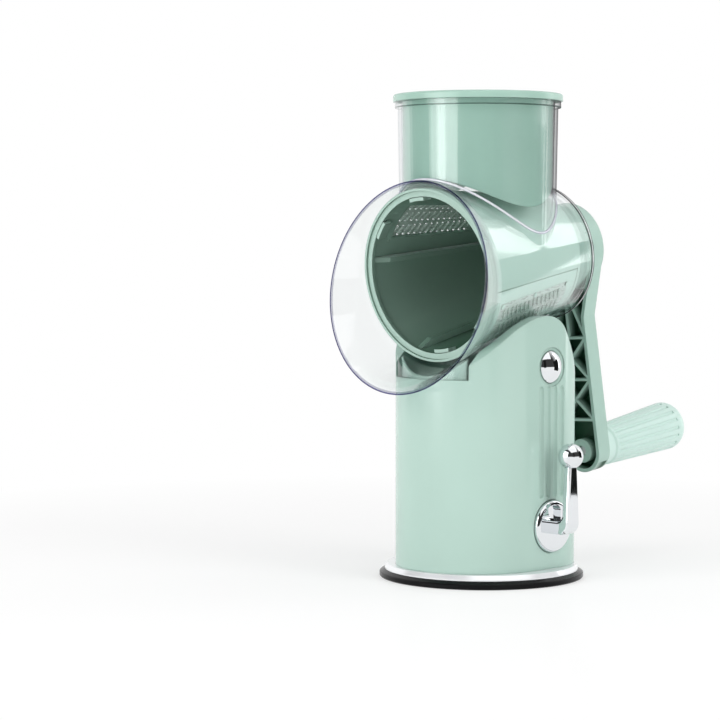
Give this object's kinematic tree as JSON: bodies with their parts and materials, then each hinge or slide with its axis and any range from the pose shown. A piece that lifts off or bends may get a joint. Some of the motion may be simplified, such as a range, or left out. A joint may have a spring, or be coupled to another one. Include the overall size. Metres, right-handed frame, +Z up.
{
  "type": "rotary cabbage shredder",
  "caption": "Hand cranked drum shredder on a suction base: clear hopper with cup pusher, conical drum with shredding inserts, side lever and crank with a fluted grip.",
  "frame": {"origin": "centre of the suction disc's underside, where it meets the worktop", "axes": "+Z up, drum mouth toward -Y, crank toward +Y, suction lever and catch button on +X"},
  "size_m": [0.1399, 0.2691, 0.3056],
  "materials": {
    "pad_rubber": "smooth black rubber with a soft gloss",
    "trim_chrome": "mirror chrome plate",
    "body_plastic": "glossy moulded plastic",
    "plate_plastic": "plain moulded plastic",
    "bush_plastic": "slippery bearing plastic",
    "screw_steel": "zinc plated steel",
    "spring_steel": "drawn spring wire",
    "shaft_steel": "turned steel",
    "blade_steel": "stamped stainless sheet",
    "lever_chrome": "mirror chrome plate",
    "clear_plastic": "clear moulded plastic",
    "pusher_plastic": "glossy moulded plastic",
    "crank_plastic": "glossy moulded plastic",
    "drum_plastic": "glossy moulded plastic",
    "insert_plastic": "glossy moulded plastic",
    "grip_plastic": "satin moulded plastic"
  },
  "bodies": {
    "stand": {"suction_pad": "pad_rubber", "base_trim_ring": "trim_chrome", "body_shell": "body_plastic", "base_plate": "plate_plastic", "base_screws": "screw_steel", "lever_bush": "bush_plastic", "clear_housing": "clear_plastic", "shaft_bush": "bush_plastic", "button_spring": "spring_steel"},
    "pusher": {"pusher_cup": "pusher_plastic"},
    "crank": {"crank_arm": "crank_plastic", "crank_head_cap": "crank_plastic", "drive_shaft": "shaft_steel", "shaft_screw": "screw_steel", "head_washer": "bush_plastic", "handle_spindle": "shaft_steel", "spindle_screw": "screw_steel", "grip_retainer": "spring_steel"},
    "drum": {"drum_frame": "drum_plastic", "insert_frame_upper": "insert_plastic", "insert_frame_lower": "insert_plastic", "shred_blade_upper": "blade_steel", "shred_blade_lower": "blade_steel", "blade_rivets_upper": "insert_plastic", "blade_rivets_lower": "insert_plastic"},
    "grip": {"handle_grip": "grip_plastic"},
    "lever": {"suction_lever": "lever_chrome", "lever_ball": "lever_chrome", "lever_shaft": "shaft_steel", "lever_cam": "plate_plastic", "lever_retainer": "spring_steel"},
    "puller": {"cam_yoke": "plate_plastic", "suction_rod": "shaft_steel", "pad_anchor": "shaft_steel"},
    "button": {"release_button": "lever_chrome", "latch_pin": "shaft_steel"}
  },
  "joints": [
    {"name": "crank_spin", "type": "hinge", "parent": "stand", "child": "crank", "pos_m": [0, 0, 0.1986], "axis": [0, 0.9914, 0.1305], "continuous": true},
    {"name": "drum_pull", "type": "slide", "parent": "crank", "child": "drum", "axis": [0, -0.9914, -0.1305], "range_m": [0, 0.115]},
    {"name": "grip_spin", "type": "hinge", "parent": "crank", "child": "grip", "pos_m": [0.00593, 0.10449, 0.07531], "axis": [0, 0.9914, 0.1305], "continuous": true},
    {"name": "pusher_lift", "type": "slide", "parent": "stand", "child": "pusher", "axis": [0, 0, 1], "range_m": [0, 0.11]},
    {"name": "lever_turn", "type": "hinge", "parent": "stand", "child": "lever", "pos_m": [0, 0.01, 0.035], "axis": [1, 0, 0], "range_deg": [0, 90]},
    {"name": "rod_lift", "type": "slide", "parent": "stand", "child": "puller", "axis": [0, 0, 1], "range_m": [0, 0.0035]},
    {"name": "button_press", "type": "slide", "parent": "stand", "child": "button", "axis": [-1, 0, 0], "range_m": [0, 0.003], "stiffness_N_per_m": 600, "springref_m": -0.002, "deforming": ["button_spring"]}
  ],
  "couplings": [
    {"joint": "rod_lift", "follows": "lever_turn", "m_per_rad": 0.0022282}
  ]
}
